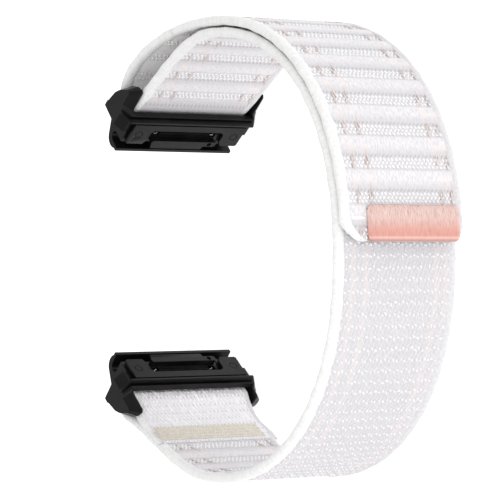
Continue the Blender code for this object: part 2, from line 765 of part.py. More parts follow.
def build_adapter(word, bar, along, flip, parts, cutters, root, look):
    """One adapter on its bar. The upper one is turned over, so that its hook also opens to the wrist."""
    joint = joint_empty(word + "_adapter_joint", parts, bar, root, (0 if flip > 0 else math.pi, 0, along))
    slide = joint_empty(word + "_slider_joint", parts, Vector((0, 0)), joint)
    put(adapter_frame(word + "_frame", cutters), parts, joint, look["black"])
    put(strap_bar(word + "_strap_bar"), parts, joint, look["steel"])
    put(cover_plate(word + "_cover", cutters), parts, joint, look["black"])
    put(release_slider(word + "_release_slider", -flip, cutters), parts, slide, look["black"])
    for side, z in (("left", flip), ("right", -flip)):
        put(rivet(word + "_rivet_" + side, rivet_place * z), parts, joint, look["black"])
        put(latch_spring(word + "_spring_" + side, spring_place * z), parts, joint, look["wire"])


def stand_on_origin(root, parts):
    """Moves the strap so that the middle of its box, on the underside, is at the origin."""
    bpy.context.view_layer.update()
    graph = bpy.context.evaluated_depsgraph_get()
    corners = []
    for obj in parts.objects:
        if obj.type == "EMPTY":
            continue
        shape = obj.evaluated_get(graph)
        corners += [obj.matrix_world @ v.co for v in shape.to_mesh().vertices]
        shape.to_mesh_clear()
    low = [min(c[k] for c in corners) for k in range(3)]
    high = [max(c[k] for c in corners) for k in range(3)]
    root.location = (-(low[0] + high[0]) / 2, -(low[1] + high[1]) / 2, -low[2])
    bpy.context.view_layer.update()


def build():
    clear_scene()
    parts = new_collection("watch_strap")
    cutters = new_collection("cutters")
    look = looks()
    root = joint_empty("strap_root", parts, Vector((0, 0)))
    build_band(parts, root, look)
    build_tail(parts, root, look)
    build_adapter("upper", upper_bar, upper_along, -1, parts, cutters, root, look)
    build_adapter("lower", lower_bar, lower_along, 1, parts, cutters, root, look)
    stand_on_origin(root, parts)
    for joint in parts.objects:
        if joint.type == "EMPTY":
            print(joint.name, "at", [round(c, 6) for c in joint.matrix_world.translation])
    print("slider travel:", round(slider_travel, 5))
    print("least gap in a spring:", round(spring_gap(parts.objects["upper_spring_left"]), 5))


build()
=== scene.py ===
"""Dressed model of a woven hook-and-loop watch strap with a quick-release adapter at each end.

The webbing is one strip, followed from its sewn end round the lower bar, round the wrist, round the upper
bar and over itself to the tip. Routes are complex numbers in the XY plane; heights run across the webbing.
Offsets are to the left of the route, where the ribbed face is. The plain face is on the right.
"""
import math

import bmesh
import bpy
import numpy as np
from mathutils import Matrix, Vector

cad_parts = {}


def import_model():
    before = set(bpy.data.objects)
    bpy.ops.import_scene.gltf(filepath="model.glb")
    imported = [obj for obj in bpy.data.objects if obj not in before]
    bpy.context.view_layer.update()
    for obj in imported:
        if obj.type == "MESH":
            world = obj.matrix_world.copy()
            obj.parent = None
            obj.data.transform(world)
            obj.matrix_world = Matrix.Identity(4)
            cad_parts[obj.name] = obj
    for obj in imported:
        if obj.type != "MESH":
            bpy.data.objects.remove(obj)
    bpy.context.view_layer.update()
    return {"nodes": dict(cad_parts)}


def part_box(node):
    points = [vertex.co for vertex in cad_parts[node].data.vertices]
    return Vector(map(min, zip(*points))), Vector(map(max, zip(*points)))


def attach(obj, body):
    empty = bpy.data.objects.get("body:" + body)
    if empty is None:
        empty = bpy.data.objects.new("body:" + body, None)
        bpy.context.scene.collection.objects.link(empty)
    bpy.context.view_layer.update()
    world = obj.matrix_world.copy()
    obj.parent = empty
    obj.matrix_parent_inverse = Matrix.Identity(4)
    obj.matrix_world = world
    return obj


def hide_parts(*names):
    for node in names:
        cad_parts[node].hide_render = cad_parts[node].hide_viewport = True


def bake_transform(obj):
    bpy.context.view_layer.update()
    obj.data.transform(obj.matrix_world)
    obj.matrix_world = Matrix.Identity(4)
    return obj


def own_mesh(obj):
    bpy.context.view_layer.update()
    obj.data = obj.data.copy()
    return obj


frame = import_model()

MM = 0.001

# Webbing
BAND_WIDTH = 26 * MM
WEB_THICKNESS = 1.6 * MM
PLAIN_SINK = 0.22 * MM
FIELD_MARGIN = 2.05 * MM
FIELD_COLUMNS = 84
PLAIN_COLUMNS = 44
PRESSED_SHARE = 0.3
PRESSED_END = 3 * MM
PRESSED_EASE = 7 * MM
TIP_CUTS = {1: (3.6 * MM, 3.4 * MM), -1: (1.5 * MM, 2.6 * MM)}
TIP_POWER = 1.6

# Round edges
BEAD_RADIUS = 0.93 * MM
BEAD_REACH = 1.15 * MM
BEAD_SINK = 0.05 * MM
BEAD_SEWN_SHARE = 0.55
BEAD_SEWN_EASE = 6 * MM
BEAD_STEP = 0.16 * MM
BEAD_SIDES = 18
TWIST_PITCH = 0.85 * MM
TWIST_RIDGE = 0.022 * MM
SLACK = 0.03 * MM
SLACK_PITCHES = (7.3 * MM, 4.1 * MM)

# Ribs and pile
RIB_PITCH = 6 * MM
GROOVE_WIDTH = 2.1 * MM
GROOVE_DEPTH = 0.16 * MM
GROOVE_EASE = 0.24 * MM
SLOT_DEPTH = 0.09 * MM
SLOT_WIDTH = 0.16 * MM
SLOT_PLACE = 1.2 * MM
CROWN = 0.08 * MM
UNRIBBED_SINK = 0.05 * MM
FACE_EASE = 1.2 * MM
STREAK = 0.018 * MM
YARN_PITCH = 0.84 * MM
KNOT_PITCH = 0.64 * MM
BAND_LEAD = 5.93 * MM
PILE_PITCH = 2.0 * MM
PILE_SLANT = 0.32
PILE_MARGIN = 0.4 * MM
PILE_DRIFT = 0.35 * YARN_PITCH
PILE_DRIFT_LENGTH = 11 * MM
LOOP_STAGGER = 0.16 * MM
FLOATS_AHEAD = (0.62 * MM, 1.4 * MM)
FLOATS_ASIDE = (0.05 * MM, 0.42 * MM)
KNOT_SLANTS = (0.6, -0.6, 0.6)
ACCENT_SHARES = (0.145, 0.25, 0.83, 0.915)
ACCENT_AHEAD = (1.3 * MM, -0.2 * MM)
ACCENT_ASIDE = (-0.22 * MM, 0.2 * MM)

# Rows of the webbing's mesh: from a groove to each side, back from the tip, and between
GROOVE_ROWS = np.array([0, 0.4, 0.85, 1.0, 1.1, 1.2, 1.3, 1.4, 1.55, 2.2, 2.7]) * MM
GROOVE_CLEAR = 3.2 * MM
TIP_ROWS = np.array([3.2, 2.8, 2.4, 2, 1.6, 1.2, 0.8, 0.5, 0.25, 0.1]) * MM
ROW_STEP = 0.55 * MM
LEAST_STEP = 0.03 * MM

# Floats of yarn: half length, half width and height, or the limits of each in millimetres
SEED_SIDES = 6
KNOT_SIZE = (0.36 * MM, 0.19 * MM, 0.2 * MM)
BEIGE_SIZE = (0.3 * MM, 0.14 * MM, 0.14 * MM)
FRINGE_SIZE = (0.55 * MM, 0.17 * MM, 0.16 * MM)
TACK_SIZE = (1.5 * MM, 0.3 * MM, 0.22 * MM)
HOOK_SIZE = (0.14 * MM, 0.12 * MM, 0.24 * MM)
ACCENT_LIMITS = ((1.0, 1.7), (0.17, 0.27), 0.1)
LOOP_LIMITS = ((0.3, 0.42), (0.19, 0.25), (0.2, 0.28))
FLOAT_LIMITS = ((0.36, 0.5), (0.13, 0.2), (0.07, 0.11))
FLAP_LIMITS = ((0.9, 1.6), (0.18, 0.25), 0.26)
FLAP_KNOT_LIMITS = (0.32, 0.2, 0.13)

# Loop and bars. A pull is the length of a curve's handle, as a share of the size named beside it
LOOP_HALF_HEIGHT = 39.5 * MM
LOOP_REACH = 37.9 * MM
LOOP_SQUARENESS = 2.2
BAR_SHIFT = 0.64 * MM
BAR_SETBACK = 26.65 * MM
WRAP_RADIUS = 2.2 * MM
FLAP_HEADING = math.radians(23)
LOWER_HEADING = math.radians(251.5)
UPPER_HEADING = math.radians(116.5)
LOWER_PULL = 0.266 * LOOP_HALF_HEIGHT
UPPER_PULL = 0.242 * LOOP_HALF_HEIGHT
TAIL_OFFSET = 2.1 * MM
TAIL_PULLS = (0.167 * LOOP_HALF_HEIGHT, 0.395 * LOOP_HALF_HEIGHT)
TAIL_REACH_SHARE = 0.45
TAIL_TIP_HEIGHT = 2.3 * MM
TAIL_END_LENGTH = 36 * MM
LAST_GROOVE = 7.3 * MM

# Sewn end
FLAP_LENGTH = 12.7 * MM
FLAP_PULLS = (0.58 * FLAP_LENGTH, 0.2 * FLAP_LENGTH)
FLAP_OFFSET = 0.64 * MM
FLAP_MARGIN = 1.3 * MM
FLAP_OVERLAP = 1 * MM
FLAP_FLOATS = 74
FLAP_ROW_PITCH = 0.86 * MM
SPREAD = 0.9 * MM
SPREAD_REACH = 3.4 * MM
SPREAD_PLACES = (2.5 * MM, 9.5 * MM)
STITCH_LEAD = 1.0 * MM
STITCH_LENGTH = 4.2 * MM
STITCH_MARGIN = 1.6 * MM
STITCH_PITCH = 0.46 * MM
STITCH_ROWS = 9
STITCH_SLANT = 0.75
BED_SINK = 0.1 * MM
BED_RISE = 0.12 * MM
BED_EASE = 0.3 * MM
FRINGE_PLACE = 0.5 * MM

# Where the strip is parted and bends
SEAM_IN = 0.8 * MM
SEAM_OUT = 21 * MM
TURN_BEND = (-0.3 * MM, 4.5 * MM)
PEEL_BEND = (-3 * MM, 3 * MM)
LINING_LEAD = 3 * MM

# Hook patch and tab
PATCH_LEAD = 6 * MM
PATCH_END = 3 * MM
PATCH_HALF_WIDTH = 11 * MM
PATCH_THICKNESS = 0.32 * MM
HOOK_MARGIN = 2.2 * MM
HOOK_PITCHES = (0.95 * MM, 0.9 * MM)
HOOK_RISE = 0.36 * MM
TAB_LENGTH = 6.1 * MM
TAB_INSETS = (1.45 * MM, 5.1 * MM)
TAB_CORNER = 1.1 * MM
TAB_LIFT = 0.12 * MM
TAB_HEIGHT = 1.15 * MM
TAB_THREAD = 0.24 * MM
TAB_THREAD_RIDGE = 0.02 * MM
TAB_PUCKER = 0.022 * MM
TAB_EDGE_PUCKER = 0.03 * MM
TAB_ROLL = 0.16 * MM
TAB_DIP = 0.12 * MM
TACK_PLACE = (3.9 * MM, 3.2 * MM)

# Adapters
ADAPTER_LEAN = math.radians(40)
ARM_ROOT = 1.6 * MM
ARM_DRAWN_IN = 0.7
WELD_DISTANCE = 0.002 * MM
FLAT_ANGLE = math.radians(1)
SHARP_ANGLE = math.radians(32)
FRAME_EDGE = 0.16 * MM
COVER_EDGE = 0.08 * MM
SLIDER_EDGE = 0.1 * MM
RIVET_EDGE = 0.05 * MM

# Studio. Each light has its name, place, target, size and power
FLOOR_SIZE = 3.0
FLOOR_DROP = 0.05 * MM
PAPER_GLOW = 0.9
WORLD_LIGHT = 0.67
LIGHTS = (("key", (0.25, -0.4, 0.45), (0, 0, 0.015), 0.4, 0.46),
          ("front", (-0.05, -0.42, 0.37), (0, 0, 0.015), 0.25, 0.4),
          ("side", (-0.26, -0.22, 0.52), (0.01, 0.005, 0.015), 0.35, 0.72))
CAMERA_TILT = math.radians(34.72)
CAMERA_PLACE = (0.91 * MM, -412.23 * MM, 289.2 * MM)
CAMERA_LENS = 201.25
CAMERA_SENSOR = 36
CAMERA_CLIP = 0.01

half_band = BAND_WIDTH / 2
half_web = WEB_THICKNESS / 2
accent_places = [half_band - share * BAND_WIDTH for share in ACCENT_SHARES]


def middle(node):
    low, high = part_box(node)
    return (low + high) / 2


upper_place = middle("upper_strap_bar")
lower_place = middle("lower_strap_bar")
middle_height = upper_place.z
loop_centre = complex((upper_place.x + lower_place.x) / 2 - BAR_SHIFT, upper_place.y - BAR_SETBACK)
upper_bar = complex(upper_place.x, upper_place.y) - loop_centre
lower_bar = complex(lower_place.x, lower_place.y) - loop_centre


# Routes

def direction(angle):
    return np.exp(1j * np.asarray(angle))


def wrapped(bar, start, end):
    """A turn round a bar, between two angles seen from it."""
    return bar + WRAP_RADIUS * direction(np.linspace(start, end, 400))


def bezier(start, start_pull, end_pull, end):
    t = np.linspace(0, 1, 500)
    return ((1 - t) ** 3 * start + 3 * t * (1 - t) ** 2 * start_pull
            + 3 * t * t * (1 - t) * end_pull + t ** 3 * end)


def loop_points(start, end):
    """Middle line of the under layer: angle 0 at the front of the loop, a quarter turn at its top."""
    angles = np.linspace(start, end, 4000)
    power = 2 / LOOP_SQUARENESS
    across = np.sign(np.sin(angles)) * np.abs(np.sin(angles)) ** power
    along = np.sign(np.cos(angles)) * np.abs(np.cos(angles)) ** power
    return LOOP_HALF_HEIGHT * across - 1j * LOOP_REACH * along


def between(values, marks, lengths):
    """Complex values at marks, read at lengths."""
    return np.interp(lengths, marks, values.real) + 1j * np.interp(lengths, marks, values.imag)


class Route:
    """A line through runs of points, read at any length, with its heading."""

    def __init__(self, *runs, step=0.05 * MM, ease=0.4 * MM):
        points = np.concatenate(runs)
        points = points[np.concatenate(([True], np.abs(np.diff(points)) > 1e-7))]
        marks = np.concatenate(([0], np.cumsum(np.abs(np.diff(points)))))
        self.length = marks[-1]
        self.marks = np.linspace(0, self.length, int(self.length / step))
        self.points = between(points, marks, self.marks)
        heading = np.gradient(self.points)
        heading /= np.abs(heading)
        width = 2 * int(ease / step / 2) + 1
        padded = np.pad(heading, width // 2, mode="edge")
        heading = np.convolve(padded, np.ones(width) / width, mode="valid")
        self.headings = heading / np.abs(heading)

    def heading(self, lengths):
        return between(self.headings, self.marks, lengths)

    def off(self, lengths, offsets):
        """Places at lengths, moved to the left of the route."""
        return between(self.points, self.marks, lengths) + offsets * 1j * self.heading(lengths)


def strip_runs():
    """The strip's runs in order, from the sewn end to the tip."""
    quarter = math.pi / 2
    lower_start = lower_bar + WRAP_RADIUS * direction(LOWER_HEADING - quarter)
    under = complex(-LOOP_HALF_HEIGHT, 0)
    lower = bezier(lower_start, lower_start + LOWER_PULL * direction(LOWER_HEADING),
                   under + 1j * LOWER_PULL, under)
    wrist = loop_points(-quarter, quarter)
    over = complex(LOOP_HALF_HEIGHT, 0)
    upper_end = upper_bar + WRAP_RADIUS * direction(UPPER_HEADING + quarter)
    upper = bezier(over, over + 1j * UPPER_PULL, upper_end - UPPER_PULL * direction(UPPER_HEADING), upper_end)

    along = Route(lower)
    flap_start = along.off(FLAP_LENGTH, FLAP_OFFSET)
    flap_end = lower_bar + WRAP_RADIUS * direction(FLAP_HEADING - quarter)
    flap = bezier(flap_start, flap_start - FLAP_PULLS[0] * along.heading(FLAP_LENGTH),
                  flap_end - FLAP_PULLS[1] * direction(FLAP_HEADING), flap_end)
    lower_turn = wrapped(lower_bar, FLAP_HEADING - quarter, LOWER_HEADING - quarter)
    upper_turn = wrapped(upper_bar, UPPER_HEADING + quarter, quarter)

    back = Route(wrist)
    lengths = back.length * np.linspace(1, TAIL_REACH_SHARE, 2000)
    outer = back.off(lengths, -TAIL_OFFSET)
    outer = outer[outer.real > TAIL_TIP_HEIGHT]
    start = upper_bar + 1j * WRAP_RADIUS
    tail = bezier(start, start + TAIL_PULLS[0], outer[0] + 1j * TAIL_PULLS[1], outer[0])
    return flap, lower_turn, lower, wrist, upper, upper_turn, tail, outer


runs = [run + loop_centre for run in strip_runs()]
strip = Route(*runs)
flap_end, lower_end, _, _, upper_start, turn_end, _, _ = np.cumsum([Route(run).length for run in runs])
tip = strip.length
peel = tip - TAIL_END_LENGTH
tail_grooves = np.arange(tip - LAST_GROOVE + RIB_PITCH, turn_end + RIB_PITCH / 2, -RIB_PITCH)[::-1]
band_grooves = np.arange(upper_start - BAND_LEAD, lower_end + GROOVE_WIDTH / 2, -RIB_PITCH)[::-1]
grooves = np.concatenate((band_grooves, tail_grooves))


def smoothstep(value):
    value = np.clip(value, 0, 1)
    return value * value * (3 - 2 * value)


def nearest_groove(lengths):
    """Signed distance of lengths along the strip from the nearest groove."""
    away = np.asarray(lengths)[..., None] - grooves
    return np.take_along_axis(away, np.argmin(np.abs(away), -1)[..., None], -1)[..., 0]


def slot_side(lengths):
    """The deep slot of each groove is towards the adapter."""
    return np.where(np.asarray(lengths) > turn_end, -1.0, 1.0)


def rib_coordinate(lengths):
    """Runs on by one at each groove."""
    before = (np.minimum(lengths, grooves[0]) - grooves[0]) / RIB_PITCH
    after = (np.maximum(lengths, grooves[-1]) - grooves[-1]) / RIB_PITCH
    return np.interp(lengths, grooves, np.arange(len(grooves))) + before + after


def half_width(lengths, side):
    """Half the webbing's width, cut round at the tip and spread on the far side beside the sewn end."""
    cut, reach = TIP_CUTS[side]
    past = np.clip((lengths - tip + reach) / reach, 0, 1)
    wide = half_band - cut * past ** TIP_POWER
    if side < 0:
        for place in (SPREAD_PLACES[0], lower_end + SPREAD_PLACES[1]):
            wide = wide + SPREAD * np.exp(-((lengths - place) / SPREAD_REACH) ** 2)
    return wide


def bead_reach(lengths):
    """Half the width of a round edge: narrower on the sewn end."""
    share = smoothstep((lengths - flap_end) / BEAD_SEWN_EASE)
    return BEAD_REACH * (BEAD_SEWN_SHARE + (1 - BEAD_SEWN_SHARE) * share)


def pressed(lengths):
    """Share of the full thickness: the sewn end is pressed flat by its stitching."""
    share = smoothstep((np.asarray(lengths) - PRESSED_END) / PRESSED_EASE)
    return PRESSED_SHARE + (1 - PRESSED_SHARE) * share


def plain_offset(lengths):
    """Offset of the plain face."""
    return -(half_web - PLAIN_SINK) * pressed(lengths)


def ribbed_offset(lengths):
    """Offset of the ribbed face."""
    away = nearest_groove(lengths)
    floor = smoothstep((GROOVE_WIDTH / 2 + GROOVE_EASE / 2 - np.abs(away)) / GROOVE_EASE)
    slot = np.exp(-((away - slot_side(lengths) * SLOT_PLACE) / SLOT_WIDTH) ** 2)
    raised = half_web - CROWN * smoothstep(1 - np.minimum(np.abs(away), RIB_PITCH / 2) / (RIB_PITCH / 2))
    ribbed = raised - GROOVE_DEPTH * floor - SLOT_DEPTH * slot
    return np.where(np.abs(away) > RIB_PITCH, half_web - UNRIBBED_SINK, ribbed)


# Meshes

def add_object(name, data):
    obj = bpy.data.objects.new(name, data)
    bpy.context.scene.collection.objects.link(obj)
    return obj


def make_object(name, points, faces, surfaces, weave, which=None):
    """A mesh object from arrays. The weave attribute holds length and height in millimetres and the rib."""
    mesh = bpy.data.meshes.new(name)
    faces = [np.asarray(group, np.int32) for group in faces]
    corners = np.concatenate([group.ravel() for group in faces])
    sizes = np.concatenate([np.full(len(group), group.shape[1], np.int32) for group in faces])
    mesh.vertices.add(len(points))
    mesh.vertices.foreach_set("co", np.asarray(points, np.float32).ravel())
    mesh.loops.add(len(corners))
    mesh.loops.foreach_set("vertex_index", corners)
    mesh.polygons.add(len(sizes))
    mesh.polygons.foreach_set("loop_start", np.concatenate(([0], np.cumsum(sizes)[:-1])).astype(np.int32))
    mesh.polygons.foreach_set("loop_total", sizes)
    mesh.update(calc_edges=True)
    mesh.validate()
    mesh.shade_smooth()
    for surface in surfaces:
        mesh.materials.append(surface)
    if which is not None:
        mesh.polygons.foreach_set("material_index", np.asarray(which, np.int32))
    attribute = mesh.attributes.new("weave", "FLOAT_VECTOR", "POINT")
    attribute.data.foreach_set("vector", np.asarray(weave, np.float32).ravel())
    return add_object(name, mesh)


def world(places, heights):
    """Points from places in the plane and heights across the webbing."""
    return np.stack((places.real, places.imag, middle_height + heights), -1).reshape(-1, 3)


def weave_values(lengths, heights):
    return np.stack((lengths / MM, heights / MM, rib_coordinate(lengths)), -1).reshape(-1, 3)


def tube_faces(rows, columns, start=0):
    """Quads of a grid of points, row by row and closed round, and a face over each end."""
    i, j = np.meshgrid(np.arange(rows - 1), np.arange(columns), indexing="ij")
    k = (j + 1) % columns
    quads = np.stack((i * columns + j, i * columns + k, (i + 1) * columns + k, (i + 1) * columns + j), -1)
    first = np.arange(columns) + start
    last = first + (rows - 1) * columns
    return [quads.reshape(-1, 4) + start, np.array([first, last[::-1]])]


def tube(name, lengths, heights, offsets, surfaces, which=None):
    """A closed tube laid along the strip from grids, row by row. Past the tip it runs straight on."""
    places = strip.off(lengths, offsets) + np.maximum(lengths - tip, 0) * strip.heading(tip)
    return make_object(name, world(places, heights), tube_faces(*lengths.shape), surfaces,
                       weave_values(lengths, heights), which)


def slab(name, u, v, outer, inner, surfaces):
    """A tube whose rows go across at the outer offset and back at the inner one."""
    return tube(name, np.concatenate((u, u[:, ::-1]), 1), np.concatenate((v, v[:, ::-1]), 1),
                np.concatenate((outer, inner + 0 * u), 1), surfaces)


def row_places(start, end):
    """Lengths of the rows: close together in each groove, wider between."""
    near = (grooves[:, None] + np.concatenate((-GROOVE_ROWS, GROOVE_ROWS))).ravel()
    near = near[(near > start) & (near < end)]
    plain = np.arange(start, end, ROW_STEP)
    plain = plain[np.abs(nearest_groove(plain)) > GROOVE_CLEAR]
    last = tip - TIP_ROWS
    last = last[(last > start) & (last < end)]
    rows = np.unique(np.concatenate(([start, end], near, plain, last)))
    return rows[np.concatenate(([True], np.diff(rows) > LEAST_STEP))]


def web_field(name, start, end, surfaces):
    """The flat of the webbing between its round edges: ribbed face, side, plain face, side."""
    rows = row_places(start, end)
    shares = np.linspace(-1, 1, FIELD_COLUMNS)
    plain_shares = np.linspace(1, -1, PLAIN_COLUMNS)
    streak = np.random.default_rng(7).normal(0, STREAK, FIELD_COLUMNS)
    streak[[0, -1]] = 0
    low = half_width(rows, -1) - bead_reach(rows)
    high = half_width(rows, 1) - bead_reach(rows)
    shares_round = np.concatenate((shares, plain_shares))
    heights = np.where(shares_round < 0, shares_round * low[:, None], shares_round * high[:, None])
    edge = np.minimum((1 - np.abs(shares)) * half_band / FACE_EASE, 1)
    face = (ribbed_offset(rows)[:, None] * (0.9 + 0.1 * edge) + streak) * pressed(rows)[:, None]
    plain_face = np.repeat(plain_offset(rows)[:, None], PLAIN_COLUMNS, 1)
    width = len(shares_round)
    which = np.tile(np.arange(width) >= FIELD_COLUMNS - 1, len(rows) - 1)
    return tube(name, np.repeat(rows[:, None], width, 1), heights, np.concatenate((face, plain_face), 1),
                surfaces, np.append(which, (0, 0)))


def web_edges(name, start, end, surfaces):
    """The two round edges, with the twist of the yarn that binds them."""
    rows = np.append(np.arange(start, end, BEAD_STEP), end)
    angles = np.linspace(0, 2 * math.pi, BEAD_SIDES, endpoint=False)
    lengths = np.repeat(rows[:, None], BEAD_SIDES, 1)
    slow, fast = (2 * math.pi * rows / pitch for pitch in SLACK_PITCHES)
    points, faces, weave = [], [], []
    for side in (-1, 1):
        centre = side * (half_width(rows, side) - bead_reach(rows))
        turn = side * 2 * math.pi * rows / TWIST_PITCH
        ridge = TWIST_RIDGE * np.sin(turn[:, None] + 2 * angles)
        slack = SLACK * (np.sin(slow + side) + np.sin(fast))
        radius = BEAD_RADIUS + ridge + slack[:, None] - BEAD_SINK
        offsets = radius * np.cos(angles) * pressed(rows)[:, None]
        heights = centre[:, None] + radius * (bead_reach(rows) / BEAD_RADIUS)[:, None] * np.sin(angles)
        faces += tube_faces(len(rows), BEAD_SIDES, lengths.size * (side > 0))
        points.append(world(strip.off(lengths, offsets), heights))
        weave.append(weave_values(lengths, heights))
    # The low side's edge takes the second material, the darker yarn of painted shade.
    which = np.repeat((1, 0), (len(rows) - 1) * BEAD_SIDES + 2)
    return make_object(name, np.concatenate(points), faces, surfaces, np.concatenate(weave), which)


def seed_shape(rings):
    """A small closed seed along X, of unit half length, half width and height."""
    points = [(-1, 0, 0)]
    for i in range(rings):
        along = math.cos(math.pi * (i + 1) / (rings + 1))
        radius = math.sqrt(1 - along * along)
        points += [(-along, radius * math.cos(2 * math.pi * k / SEED_SIDES),
                    radius * math.sin(2 * math.pi * k / SEED_SIDES)) for k in range(SEED_SIDES)]
    points.append((1, 0, 0))
    base = 1 + (rings - 1) * SEED_SIDES
    ends = []
    quads = []
    for k in range(SEED_SIDES):
        n = (k + 1) % SEED_SIDES
        ends += [(0, 1 + k, 1 + n), (len(points) - 1, base + n, base + k)]
        for a in range(1, base, SEED_SIDES):
            quads.append((a + k, a + SEED_SIDES + k, a + SEED_SIDES + n, a + n))
    return np.array(points, float), np.array(ends), np.array(quads)


def stitches(name, lengths, heights, offsets, sizes, slants, surfaces, rings=2):
    """Many short floats of yarn laid on a face of the strip. sizes are half length, half width and height."""
    shape, ends, quads = seed_shape(rings)
    lengths, heights, offsets, slants = np.broadcast_arrays(*(np.atleast_1d(a).astype(float)
                                                              for a in (lengths, heights, offsets, slants)))
    sizes = np.broadcast_to(np.asarray(sizes, float), (len(lengths), 3))
    local = shape[None] * sizes[:, None]
    cosine, sine = np.cos(slants)[:, None], np.sin(slants)[:, None]
    u = lengths[:, None] + local[..., 0] * cosine - local[..., 1] * sine
    v = heights[:, None] + local[..., 0] * sine + local[..., 1] * cosine
    points = world(strip.off(u, offsets[:, None] + local[..., 2]), v)
    first = (np.arange(len(lengths)) * len(shape))[:, None, None]
    groups = [(ends[None] + first).reshape(-1, 3), (quads[None] + first).reshape(-1, 4)]
    u_of = np.repeat(lengths[:, None], len(shape), 1)
    v_of = np.repeat(heights[:, None], len(shape), 1)
    return make_object(name, points, groups, surfaces, weave_values(u_of, v_of))


def drawn_sizes(seed, limits, count):
    """Sizes of floats, each drawn between its limits, or fixed."""
    return np.stack([seed.uniform(*limit, count) if isinstance(limit, tuple) else np.full(count, limit)
                     for limit in limits], -1) * MM


def grooves_between(start, end):
    return grooves[(grooves > start) & (grooves < end)]


def knot_rows(name, start, end, surfaces, offset=half_web - CROWN - GROOVE_DEPTH):
    """Rows of small knots in the grooves of the ribbed face."""
    lengths, heights, slants = [], [], []
    seed = np.random.default_rng(11)
    for place in grooves_between(start, end):
        side = float(slot_side(place))
        for row, slant in enumerate(KNOT_SLANTS):
            high = half_width(place, 1) - FIELD_MARGIN
            low = -(half_width(place, -1) - FIELD_MARGIN)
            across = np.arange(low + YARN_PITCH / 2 * (row % 2), high, YARN_PITCH)
            away = (1 - row) * KNOT_PITCH
            lengths.append(place + side * away + seed.normal(0, 0.03 * MM, len(across)))
            heights.append(across + seed.normal(0, 0.04 * MM, len(across)))
            slants.append(side * slant + seed.normal(0, 0.15, len(across)))
    lengths, heights, slants = (np.concatenate(part) for part in (lengths, heights, slants))
    return stitches(name, lengths, heights, offset, KNOT_SIZE, slants, surfaces, rings=3)


def accent_floats(name, start, end, surfaces):
    """Pink warp threads, which show as thin floats where they cross the grooves."""
    places = grooves_between(start, end)
    seed = np.random.default_rng(5)
    threads = len(accent_places)
    lengths = np.repeat(places, threads) + seed.normal(0, 0.2 * MM, len(places) * threads)
    heights = np.tile(accent_places, len(places)) + seed.normal(0, 0.15 * MM, len(lengths))
    sides = np.repeat(slot_side(places), threads)
    lengths = np.concatenate([lengths + ahead * sides for ahead in ACCENT_AHEAD])
    heights = np.concatenate([heights + aside for aside in ACCENT_ASIDE])
    count = len(lengths)
    sizes = drawn_sizes(seed, ACCENT_LIMITS, count)
    slants = seed.normal(-0.1, 0.05, count)
    return stitches(name, lengths, heights, half_web - CROWN * 0.9, sizes, slants, surfaces, rings=5)


def pile(name, start, end, surfaces):
    """Loop pile of the plain face: rows of bright loops, and the slanted floats between them."""
    seed = np.random.default_rng(3)
    rows = np.arange(math.ceil(start / PILE_PITCH), math.floor(end / PILE_PITCH)) * PILE_PITCH
    across = np.arange(-half_band + FIELD_MARGIN, half_band - FIELD_MARGIN, YARN_PITCH)
    grid_u, grid_v = (part.ravel() for part in np.meshgrid(rows, across, indexing="ij"))
    count = grid_u.size
    drift = PILE_DRIFT * np.sin(grid_u / PILE_DRIFT_LENGTH)
    loops_u = grid_u + seed.normal(0, 0.07 * MM, count)
    loops_v = grid_v + drift + seed.normal(0, 0.07 * MM, count)
    loops_u = loops_u + LOOP_STAGGER * np.cos(grid_v * math.pi / YARN_PITCH)
    ahead = np.repeat(FLOATS_AHEAD, count)
    aside = np.repeat(FLOATS_ASIDE, count)
    floats_u = np.tile(loops_u, 2) + ahead + seed.normal(0, 0.07 * MM, 2 * count)
    floats_v = np.tile(loops_v, 2) - aside + seed.normal(0, 0.05 * MM, 2 * count)
    loop_slants = seed.normal(0.7, 0.35, count)
    float_slants = seed.normal(-PILE_SLANT, 0.09, 2 * count)
    loop_sizes = drawn_sizes(seed, LOOP_LIMITS, count)
    float_sizes = drawn_sizes(seed, FLOAT_LIMITS, 2 * count)
    made = []
    for word, lengths, heights, sizes, slants, surface in (
            ("_loops", loops_u, loops_v, loop_sizes, loop_slants, surfaces[0]),
            ("_floats", floats_u, floats_v, float_sizes, float_slants, surfaces[1])):
        keep = (lengths > start + PILE_MARGIN) & (lengths < end - PILE_MARGIN)
        made.append(stitches(name + word, lengths[keep], heights[keep], plain_offset(lengths[keep]),
                             sizes[keep], slants[keep], [surface]))
    return made


def flap_floats(name, start, end, surfaces):
    """Long bright floats of the sewn end, below the adapter, over rows of small knots."""
    seed = np.random.default_rng(21)
    side = half_band - 1.4 * MM
    lengths = [seed.uniform(start + 1.2 * MM, end - 1.4 * MM, FLAP_FLOATS)]
    heights = [np.linspace(-side, side, FLAP_FLOATS) + seed.normal(0, 0.2 * MM, FLAP_FLOATS)]
    sizes = [drawn_sizes(seed, FLAP_LIMITS, FLAP_FLOATS)]
    slants = [seed.normal(0.2, 0.06, FLAP_FLOATS)]
    across = np.arange(-half_band + FLAP_MARGIN, half_band - FLAP_MARGIN, YARN_PITCH)
    count = len(across)
    for k, row in enumerate(np.arange(start + 0.4 * MM, end, FLAP_ROW_PITCH)):
        lengths.append(row + seed.normal(0, 0.05 * MM, count))
        heights.append(across + YARN_PITCH / 2 * (k % 2) + seed.normal(0, 0.05 * MM, count))
        sizes.append(drawn_sizes(seed, FLAP_KNOT_LIMITS, count))
        slants.append(seed.normal(0.25, 0.2, count))
    lengths, heights, sizes, slants = (np.concatenate(part) for part in (lengths, heights, sizes, slants))
    return stitches(name, lengths, heights, plain_offset(lengths), sizes, slants, surfaces, rings=3)


# Materials

